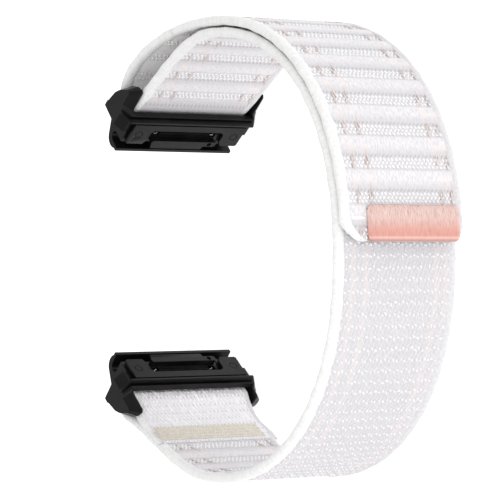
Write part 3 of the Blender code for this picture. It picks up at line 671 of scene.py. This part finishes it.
class Nodes:
    """Builds the node tree of one material."""

    def __init__(self, name, **inputs):
        self.material = bpy.data.materials.new(name)
        self.material.use_nodes = True
        self.tree = self.material.node_tree
        self.shader = self.tree.nodes["Principled BSDF"]
        for key, value in inputs.items():
            self.feed(self.shader.inputs[key.replace("_", " ")], value)

    def feed(self, socket, value):
        if isinstance(value, bpy.types.NodeSocket):
            self.tree.links.new(value, socket)
        elif socket.type == "RGBA":
            socket.default_value = (*value, 1)
        else:
            socket.default_value = value

    def add(self, kind, inputs, **settings):
        node = self.tree.nodes.new("ShaderNode" + kind)
        for key, value in settings.items():
            setattr(node, key, value)
        for key, value in inputs.items():
            self.feed(node.inputs[key], value)
        return node

    def math(self, operation, *values):
        return self.add("Math", dict(enumerate(values)), operation=operation).outputs[0]

    def times(self, a, b):
        return self.math("MULTIPLY", a, b)

    def scaled(self, value, factor, added):
        return self.math("MULTIPLY_ADD", value, factor, added)

    def distance(self, value, place):
        return self.math("ABSOLUTE", self.math("SUBTRACT", value, place))

    def mix(self, share, a, b):
        return self.add("Mix", {0: share, 6: a, 7: b}, data_type="RGBA").outputs[2]

    def ramp(self, value, low, high):
        """Smooth step from 0 at low to 1 at high."""
        return self.add("MapRange", {0: value, 1: low, 2: high}, interpolation_type="SMOOTHSTEP").outputs[0]

    def noise(self, vector, scale, detail=2.0):
        return self.add("TexNoise", {"Vector": vector, "Scale": scale, "Detail": detail}).outputs[0]

    def weave(self):
        """Length, height and rib of a piece of webbing."""
        vector = self.add("Attribute", {}, attribute_name="weave").outputs["Vector"]
        return self.add("SeparateXYZ", {0: vector}).outputs

    def join(self, *values):
        return self.add("CombineXYZ", dict(enumerate(values))).outputs[0]

    def grain(self, length, height, along, across, detail=2.0, layer=0):
        """Noise that is finer across the webbing than along it."""
        drawn = self.join(self.times(length, along), self.times(height, across), layer)
        return self.noise(drawn, 1.0, detail)

    def place(self):
        return self.add("TexCoord", {}).outputs["Object"]

    def finish(self, color, relief, distance, strength):
        """Gives the shader its colour and relief."""
        normal = self.add("Bump", {"Height": relief, "Distance": distance, "Strength": strength}).outputs[0]
        self.feed(self.shader.inputs["Base Color"], color)
        self.feed(self.shader.inputs["Normal"], normal)
        return self.material


YARN_WAVE = 2 * math.pi / (YARN_PITCH / MM)
CLOTH = {"Roughness": 0.85, "Sheen_Weight": 0.2, "Sheen_Roughness": 0.5}


def accent_share(nodes, height, wobble, width):
    """1 on the pink warp threads, 0 between them."""
    total = 0.0
    for place in accent_places:
        away = nodes.distance(height, nodes.math("ADD", wobble, place / MM))
        total = nodes.math("MAXIMUM", total, nodes.ramp(away, width, width * 0.2))
    return total


def ribbed_material(name, slot, tones, glow=0.0):
    """Ribbed nylon: fine streaks along the warp, pink warp threads, painted shade on each rib before its
    groove and on the groove's floor, and a row of gaps painted dark as shade by each groove.

    slot is 1 or -1, for the side of the groove that has the gaps. tones are the yarn's light and dark
    colours and the colour of its painted shade. glow is the share of light that spreads inside the webbing.
    """
    light, dark, shade_tone = tones
    nodes = Nodes(name, Subsurface_Weight=glow, Subsurface_Radius=(1, 1, 1),
                  Subsurface_Scale=WEB_THICKNESS, **CLOTH)
    length, height, rib = nodes.weave()
    flat = nodes.join(length, height, 0)
    fine = nodes.grain(length, height, 1.1, 3.4, 3)
    broad = nodes.noise(flat, 0.16, 3)
    color = nodes.mix(nodes.ramp(fine, 0.36, 0.6), dark, light)
    color = nodes.mix(nodes.times(nodes.ramp(broad, 0.35, 0.7), 0.2), color, dark)
    wobble = nodes.scaled(nodes.grain(length, height, 0.5, 1), 0.9, -0.45)
    share = nodes.times(accent_share(nodes, height, wobble, 1.3), 0.8)
    uneven = nodes.ramp(nodes.noise(flat, 0.55), 0.4, 0.65)
    color = nodes.mix(nodes.times(share, uneven), color, FABRIC_PINK)
    away = nodes.math("SUBTRACT", nodes.math("FRACT", nodes.math("ADD", rib, 0.5)), 0.5)
    past = nodes.times(away, slot * RIB_PITCH / MM)
    # Painted shade: each rib darkens towards its groove's slot, and the groove's floor is darker too.
    before = nodes.times(nodes.ramp(past, 3.4, 1.1), nodes.ramp(past, 0.95, 1.15))
    floor = nodes.ramp(nodes.distance(past, -0.12), 1.5, 1.0)
    shade = nodes.math("MAXIMUM", nodes.times(before, 0.6), nodes.times(floor, 0.5))
    color = nodes.mix(shade, color, shade_tone)
    # Painted shade: a row of dark dashes in the slot, where the gaps between the yarns lie in shade; the
    # dashes also cut into the relief.
    wave = nodes.math("SINE", nodes.math("ADD", nodes.times(height, YARN_WAVE), nodes.times(past, 5.5)))
    line = nodes.ramp(nodes.distance(past, SLOT_PLACE / MM), 0.34, 0.1)
    dashes = nodes.times(line, nodes.ramp(wave, -0.3, 0.7))
    color = nodes.mix(nodes.times(dashes, 0.3), color, FABRIC_GAP_SHADE)
    return nodes.finish(color, nodes.math("SUBTRACT", fine, dashes), 0.08 * MM, 0.7)


def plain_material(name):
    """Ground of the plain face: painted shade between slanted yarns, and painted shade in the gaps of the
    weave on the sewn end.
    """
    nodes = Nodes(name, **CLOTH)
    length, height, _ = nodes.weave()
    fine = nodes.grain(length, height, 1.5, 3.5, 3)
    slanted = nodes.scaled(length, math.tan(PILE_SLANT), height)
    wave = nodes.math("SINE", nodes.times(slanted, YARN_WAVE))
    # Painted shade: the ground between the pile's yarns is darker, in slanted stripes along them.
    color = nodes.mix(nodes.ramp(nodes.math("ADD", fine, nodes.times(wave, 0.15)), 0.25, 0.75),
                      FABRIC_SHADED_FLOOR, FABRIC_DARK)
    # Painted shade in the gaps of the weave on the sewn end.
    gaps = nodes.times(nodes.ramp(nodes.math("SINE", nodes.times(length, 3.7)), 0.5, 0.95),
                       nodes.ramp(nodes.math("SINE", nodes.times(height, 7.5)), -0.2, 0.5))
    sewn = nodes.mix(nodes.times(gaps, 0.75), FABRIC, FABRIC_SHADE)
    color = nodes.mix(nodes.ramp(length, 18, 15), color, sewn)
    share = nodes.times(accent_share(nodes, height, 0.0, 0.9), nodes.ramp(length, 15, 18))
    color = nodes.mix(nodes.times(share, 0.35), color, FABRIC_PINK)
    return nodes.finish(color, fine, 0.08 * MM, 0.7)


def yarn_material(name, light, dark, scale=2.5, roughness=0.8, pink=None, glow=0.0):
    """Twisted yarn with a fine uneven surface. glow is the share of light that spreads inside it."""
    nodes = Nodes(name, Roughness=roughness, Sheen_Weight=0.3, Sheen_Roughness=0.5, Subsurface_Weight=glow,
                  Subsurface_Radius=(1, 1, 1), Subsurface_Scale=BEAD_RADIUS)
    length, height, _ = nodes.weave()
    flat = nodes.join(length, height, 0)
    color = nodes.mix(nodes.ramp(nodes.noise(flat, scale), 0.3, 0.65), dark, light)
    if pink:
        wobble = nodes.scaled(nodes.noise(flat, 0.8), 0.8, -0.4)
        patchy = nodes.ramp(nodes.noise(flat, 0.22, 1), 0.35, 0.62)
        share = nodes.times(accent_share(nodes, height, wobble, 1.0), 0.6)
        color = nodes.mix(nodes.times(share, patchy), color, pink)
    return nodes.finish(color, nodes.noise(nodes.place(), 5200), 0.03 * MM, 0.6)


def satin_material():
    """Satin tab: threads side by side across it, a painted sheen lighter away from the tip, a painted
    highlight on the rolled rim and painted shade at both ends.
    """
    nodes = Nodes("tab_satin", Sheen_Weight=0.25, Sheen_Roughness=0.35, Specular_IOR_Level=0.35)
    length, height, _ = nodes.weave()
    along = nodes.math("DIVIDE", nodes.math("SUBTRACT", length, (tip - TAB_LENGTH) / MM), TAB_LENGTH / MM)
    threads = nodes.grain(length, height, 0.5, 9, 3)
    scratches = nodes.grain(length, height, 0.7, 15, layer=4)
    # Painted sheen and shade: lighter away from the tip, deeper towards it.
    color = nodes.mix(nodes.ramp(along, 0.3, 0.8), SATIN_SHEEN_LIGHT, SATIN_SHADED)
    color = nodes.mix(nodes.times(nodes.ramp(threads, 0.62, 0.35), 0.3), color, SATIN_DARK_AND_SHADE)
    thin = nodes.times(nodes.ramp(scratches, 0.46, 0.36), nodes.scaled(along, -0.85, 1.05))
    color = nodes.mix(thin, color, SATIN_DARK_AND_SHADE)
    # Painted highlight along the rolled rim.
    rim = nodes.ramp(nodes.distance(along, 0.9), 0.045, 0.015)
    color = nodes.mix(nodes.times(rim, 0.55), color, SATIN_SHEEN_LIGHT)
    # Painted shade at both ends of the tab.
    ends = nodes.math("MAXIMUM", nodes.ramp(along, 0.05, 0.0), nodes.ramp(along, 0.94, 0.98))
    color = nodes.mix(nodes.times(ends, 0.5), color, SATIN_DARK_AND_SHADE)
    nodes.feed(nodes.shader.inputs["Roughness"], nodes.scaled(threads, 0.2, 0.4))
    return nodes.finish(color, threads, 0.06 * MM, 0.8)


def metal_material(name, color, rubbed, roughness, metallic, specular=0.5):
    """Metal with a fine uneven finish, lighter where it is rubbed."""
    nodes = Nodes(name, Metallic=metallic, Specular_IOR_Level=specular)
    place = nodes.place()
    cloud = nodes.noise(place, 225, 3)
    nodes.feed(nodes.shader.inputs["Roughness"], nodes.scaled(cloud, 0.16, roughness - 0.08))
    color = nodes.mix(nodes.ramp(cloud, 0.4, 0.75), color, rubbed)
    return nodes.finish(color, nodes.noise(place, 4500), 0.008 * MM, 0.5)


FABRIC = (0.835, 0.817, 0.842)
FABRIC_DARK = (0.685, 0.67, 0.695)
# The next three tones are painted shade: by the grooves and on the sewn end, on the pile's ground, and in the
# slots' gaps.
FABRIC_SHADE = (0.54, 0.53, 0.55)
FABRIC_SHADED_FLOOR = (0.61, 0.595, 0.615)
FABRIC_GAP_SHADE = (0.30, 0.29, 0.30)
FABRIC_PINK = (0.86, 0.76, 0.74)
# Satin tones: a painted sheen, the satin in painted shade, and a dark tone for its threads and the painted
# shade at its ends.
SATIN_SHEEN_LIGHT = (0.80, 0.605, 0.56)
SATIN_SHADED = (0.76, 0.375, 0.315)
SATIN_DARK_AND_SHADE = (0.42, 0.19, 0.155)
RIBBED_TONES = (FABRIC, FABRIC_DARK, FABRIC_SHADE)
# The lining is the turn's plain face in lighter tones than the ribbed faces: painted light where it lies in
# shade.
LIT_LINING_TONES = ((0.98, 0.975, 0.98), (0.95, 0.945, 0.95), (0.9, 0.89, 0.905))
band_ribbed = ribbed_material("band_nylon", 1.0, RIBBED_TONES)
tail_ribbed = ribbed_material("tail_nylon", -1.0, RIBBED_TONES)
lit_turn_lining = ribbed_material("lit_turn_lining", -1.0, LIT_LINING_TONES, glow=0.8)
plain = plain_material("plain_nylon")
edge_yarn = yarn_material("edge_yarn", (0.875, 0.872, 0.867), (0.805, 0.80, 0.795), 1.6, glow=0.5)
# The far edge yarn is a darker copy of the edge yarn: painted shade.
shaded_far_yarn = yarn_material("shaded_far_edge_yarn", (0.73, 0.72, 0.735), (0.65, 0.64, 0.655), 1.6)
knot_yarn = yarn_material("knot_yarn", (0.97, 0.965, 0.975), (0.9, 0.89, 0.91))
loop_yarn = yarn_material("loop_yarn", (0.90, 0.895, 0.905), (0.82, 0.81, 0.825))
pile_yarn = yarn_material("pile_yarn", (0.75, 0.735, 0.755), (0.67, 0.655, 0.68), pink=(0.78, 0.67, 0.685))
pink_yarn = yarn_material("pink_yarn", (0.73, 0.655, 0.635), (0.60, 0.525, 0.505))
beige_yarn = yarn_material("beige_yarn", (0.82, 0.775, 0.70), (0.68, 0.63, 0.55))
hook_plastic = yarn_material("hook_plastic", (0.80, 0.79, 0.80), (0.70, 0.69, 0.70), roughness=0.5)
satin = satin_material()
black = metal_material("black_coating", (0.0035, 0.0035, 0.004), (0.0075, 0.0075, 0.008), 0.34, 0.0, 0.17)
steel = metal_material("turned_steel", (0.30, 0.30, 0.31), (0.42, 0.42, 0.43), 0.3, 1.0)
wire = metal_material("spring_wire", (0.45, 0.45, 0.46), (0.55, 0.55, 0.56), 0.28, 1.0)


# Webbing on its bodies

def rest_place(length):
    """A point on the strip's middle line, for the start or end of a bend."""
    place = complex(strip.off(length, 0))
    return Vector((place.real, place.imag, middle_height))


seam_in = upper_start + SEAM_IN
seam_out = tail_grooves[tail_grooves > turn_end + SEAM_OUT][0] - SLOT_PLACE
flap_done = lower_end - FLAP_OVERLAP
spans = (("band", 0.0, seam_in, None),
         ("turn", seam_in, seam_out, ("strap", "tail", turn_end + TURN_BEND[0], turn_end + TURN_BEND[1])),
         ("tail", seam_out, tip, ("tail", "tail_end", peel + PEEL_BEND[0], peel + PEEL_BEND[1])))

for word, start, end, flex in spans:
    ribbed = band_ribbed if word == "band" else tail_ribbed
    pieces = [web_field(word + "_weave", start, end, [ribbed, lit_turn_lining if word == "turn" else plain]),
              web_edges(word + "_edges", start, end, [edge_yarn, shaded_far_yarn]),
              knot_rows(word + "_knots", start, end, [knot_yarn]),
              accent_floats(word + "_accents", start, end, [pink_yarn])]
    if word == "band":
        pieces += pile("band_pile", flap_done, end, [loop_yarn, pile_yarn])
        pieces.append(flap_floats("flap_weave", STITCH_LEAD + STITCH_LENGTH, flap_done, [knot_yarn]))
        fringe = np.arange(-half_band + FLAP_MARGIN, half_band - FLAP_MARGIN, YARN_PITCH * 0.75)
        pieces.append(stitches("flap_fringe", FRINGE_PLACE, fringe, plain_offset(FRINGE_PLACE),
                               FRINGE_SIZE, -0.5, [knot_yarn]))
    elif word == "turn":
        pieces.append(knot_rows("turn_back_knots", start + LINING_LEAD, end, [knot_yarn],
                                -half_web + PLAIN_SINK))
    else:
        pieces += pile("tail_pile", start, peel + PATCH_LEAD, [loop_yarn, pile_yarn])
    for piece in pieces:
        if flex is None:
            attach(piece, "strap")
        else:
            first, second, bend_start, bend_end = flex
            rest_place(bend_start)
            rest_place(bend_end)
            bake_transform(piece)
    if word in ("band", "tail"):
        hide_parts(word)
    if word == "tail":
        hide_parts("tail_end")


# Sewn end, hooks and tab

def bed(name, rows, across, near, far, surfaces):
    """A thin closed strip on the webbing, between two offsets, with softened edges."""
    u, v = np.meshgrid(rows, across, indexing="ij")
    lead = np.minimum(u - rows[0], rows[-1] - u)
    side = np.minimum(v - across[0], across[-1] - v)
    soft = smoothstep(np.minimum(lead, side) / BED_EASE + 0.25)
    return slab(name, u, v, near + (far - near) * (0.35 + 0.65 * soft), near, surfaces)


def zigzag_stitching():
    """Dense beige stitching that holds the sewn end, on its thread bed."""
    side = half_band - STITCH_MARGIN
    last = STITCH_LEAD + STITCH_LENGTH
    rows = np.linspace(STITCH_LEAD + 0.2 * MM, last - 0.2 * MM, STITCH_ROWS)
    across = np.arange(-side + 0.2 * MM, side, STITCH_PITCH)
    odd = np.arange(STITCH_ROWS)[:, None] % 2
    seed = np.random.default_rng(2)
    u, v = np.meshgrid(rows, across, indexing="ij")
    v = v + STITCH_PITCH / 2 * odd
    u = u + seed.normal(0, 0.03 * MM, u.shape)
    slants = np.where(odd, STITCH_SLANT, -STITCH_SLANT) + seed.normal(0, 0.1, u.shape)
    made = stitches("sewn_end_stitches", u.ravel(), v.ravel(), plain_offset(u.ravel()) - BED_RISE, BEIGE_SIZE,
                    slants.ravel(), [beige_yarn], rings=3)
    bed_rows = np.linspace(STITCH_LEAD, last, 20)
    near = plain_offset(bed_rows)[:, None]
    return made, bed("sewn_end_bed", bed_rows, np.linspace(-side, side, 40), near + BED_SINK, near - BED_RISE,
                     [beige_yarn])


sewn, sewn_bed = zigzag_stitching()
for piece in (sewn, sewn_bed):
    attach(piece, "strap")
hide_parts("end_stitching")

patch_start, patch_end = peel + PATCH_LEAD, tip - PATCH_END
hook_side = half_band - HOOK_MARGIN
hook_rows = np.arange(patch_start, patch_end, HOOK_PITCHES[0])
hook_across = np.arange(-hook_side, hook_side + 0.1 * MM, HOOK_PITCHES[1])
hook_u, hook_v = (part.ravel() for part in np.meshgrid(hook_rows, hook_across, indexing="ij"))
tape = bed("hook_tape", np.linspace(patch_start, patch_end, 60),
           np.linspace(-PATCH_HALF_WIDTH, PATCH_HALF_WIDTH, 12), -half_web + BED_SINK,
           -half_web - PATCH_THICKNESS, [hook_plastic])
hooks = stitches("hook_field", hook_u, hook_v, -half_web - HOOK_RISE, HOOK_SIZE, 0.3, [hook_plastic], rings=3)
for piece in (tape, hooks):
    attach(piece, "tail_end")
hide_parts("hook_patch")


def tab_piece():
    """Folded satin tab across the tip: round corners, threads side by side and a rolled rim."""
    low, high = -half_band + TAB_INSETS[0], half_band - TAB_INSETS[1]
    across = np.linspace(low, high, 380)
    shares = np.sin(np.linspace(-math.pi / 2, math.pi / 2, 46))[:, None]
    v = np.repeat(across[None], len(shares), 0)
    side = np.minimum(v - low, high - v)
    inward = np.maximum(TAB_CORNER - side, 0)
    round_off = TAB_CORNER - np.sqrt(np.maximum(TAB_CORNER ** 2 - inward ** 2, 0))
    pucker = np.convolve(np.random.default_rng(9).normal(0, 1, len(across)), np.ones(4) / 4, "same")
    half = TAB_LENGTH / 2
    u = tip - half + shares * (half - round_off * 0.85 + TAB_EDGE_PUCKER * pucker * (shares < 0))
    ridge = TAB_THREAD_RIDGE * np.sin(2 * math.pi * v / TAB_THREAD) + TAB_PUCKER * pucker
    crown = np.sqrt(np.clip(1 - np.abs(shares) ** 3.6, 0, 1)) * np.sqrt(np.clip(side / TAB_CORNER, 0.02, 1))
    roll = TAB_ROLL * np.exp(-((shares - 0.8) / 0.1) ** 2) - TAB_DIP * np.exp(-((shares - 0.55) / 0.14) ** 2)
    near = half_web + TAB_LIFT
    outer = near + (TAB_HEIGHT + ridge) * (0.1 + 0.9 * crown) + roll * crown
    return slab("satin_tab", u, v, outer, near - 0.1 * MM, [satin])


tab = tab_piece()
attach(tab, "tail_end")
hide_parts("pull_tab")

bar_tack = stitches("tab_stitches", tip - TACK_PLACE[0], half_band - TACK_PLACE[1], half_web - 0.02 * MM,
                    TACK_SIZE, math.pi / 2, [knot_yarn], rings=7)
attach(bar_tack, "tail_end")


# Adapters

def coat(mesh, surface):
    mesh.materials.clear()
    mesh.materials.append(surface)


def soften(obj, width):
    """Joins the solid's triangles into whole faces and rounds the edges between them."""
    obj.modifiers.new("joined", "WELD").merge_threshold = WELD_DISTANCE
    thin = obj.modifiers.new("faces", "DECIMATE")
    thin.decimate_type = "DISSOLVE"
    thin.angle_limit = FLAT_ANGLE
    edge = obj.modifiers.new("edges", "BEVEL")
    edge.width = width
    edge.segments = 3
    edge.limit_method = "ANGLE"
    edge.angle_limit = SHARP_ANGLE
    edge.harden_normals = True


def dress(node, surface, edge=0):
    """Gives a solid its finish, and soft edges that catch the light."""
    obj = frame["nodes"][node]
    coat(obj.data, surface)
    if edge:
        soften(obj, edge)


def standing_copy(node, surface):
    """A solid's mesh as it stands, to be changed."""
    source = frame["nodes"][node]
    mesh = source.data.copy()
    mesh.transform(source.matrix_world)
    coat(mesh, surface)
    return mesh


def lower_frame_shape():
    """The lower frame with its far arm drawn in beside the spread webbing, which hides it."""
    mesh = standing_copy("lower_frame", black)
    along = Vector((math.sin(ADAPTER_LEAN), math.cos(ADAPTER_LEAN), 0))
    for vertex in mesh.vertices:
        away = vertex.co - lower_place
        reach = -away.dot(along)
        if reach > ARM_ROOT and away.z < -half_band:
            vertex.co += along * (reach - ARM_ROOT) * ARM_DRAWN_IN
    obj = add_object("lower_frame_shape", mesh)
    soften(obj, FRAME_EDGE)
    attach(obj, "lower_adapter")
    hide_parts("lower_frame")


def latch_spring(word, side):
    """The spring's own coil, welded into one piece and smoothly shaded, on its adapter."""
    node = word + "_spring_" + side
    mesh = standing_copy(node, wire)
    whole = bmesh.new()
    whole.from_mesh(mesh)
    bmesh.ops.remove_doubles(whole, verts=whole.verts, dist=WELD_DISTANCE)
    whole.to_mesh(mesh)
    whole.free()
    mesh.shade_smooth()
    obj = add_object(node + "_coil", mesh)
    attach(obj, word + "_adapter")
    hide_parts(node)
    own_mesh(obj)


lower_frame_shape()
dress("upper_frame", black, FRAME_EDGE)
for word in ("upper", "lower"):
    dress(word + "_cover", black, COVER_EDGE)
    dress(word + "_release_slider", black, SLIDER_EDGE)
    dress(word + "_strap_bar", steel)
    for side in ("left", "right"):
        dress(word + "_rivet_" + side, black, RIVET_EDGE)
        latch_spring(word, side)


# Floor, light and camera

paper = Nodes("paper", Base_Color=(0.5, 0.5, 0.5), Roughness=0.9, Specular_IOR_Level=0.1,
              Emission_Color=(1, 1, 1), Emission_Strength=PAPER_GLOW).material
sheet = bpy.data.meshes.new("floor")
far = FLOOR_SIZE / 2
sheet.from_pydata([(-far, -far, 0), (far, -far, 0), (far, far, 0), (-far, far, 0)], [], [(0, 1, 2, 3)])
sheet.materials.append(paper)
floor = add_object("floor", sheet)
floor.location = (0, 0, -FLOOR_DROP)

studio = bpy.data.worlds.new("studio")
studio.use_nodes = True
sky = studio.node_tree.nodes["Background"]
sky.inputs["Color"].default_value = (1, 1, 1, 1)
sky.inputs["Strength"].default_value = WORLD_LIGHT
scene = bpy.context.scene
scene.world = studio

for name, place, target, size, power in LIGHTS:
    light = bpy.data.lights.new(name, "AREA")
    light.shape = "SQUARE"
    light.size = size
    light.energy = power
    lamp = add_object(name, light)
    lamp.location = place
    lamp.rotation_euler = (Vector(target) - Vector(place)).to_track_quat("-Z", "Y").to_euler()

camera_data = bpy.data.cameras.new("camera")
camera_data.lens = CAMERA_LENS
camera_data.sensor_width = CAMERA_SENSOR
camera_data.clip_start = CAMERA_CLIP
camera = add_object("camera", camera_data)
look = Vector((0, math.cos(CAMERA_TILT), -math.sin(CAMERA_TILT)))
up = Vector((1, 0, 0))
middle_place = (loop_centre.real, loop_centre.imag, middle_height)
stand = Vector([place + away for place, away in zip(middle_place, CAMERA_PLACE)])
turned = Matrix((look.cross(up), up, -look)).transposed().to_4x4()
camera.matrix_world = Matrix.Translation(stand) @ turned
scene.camera = camera
scene.view_settings.view_transform = "Standard"

bpy.context.view_layer.update()
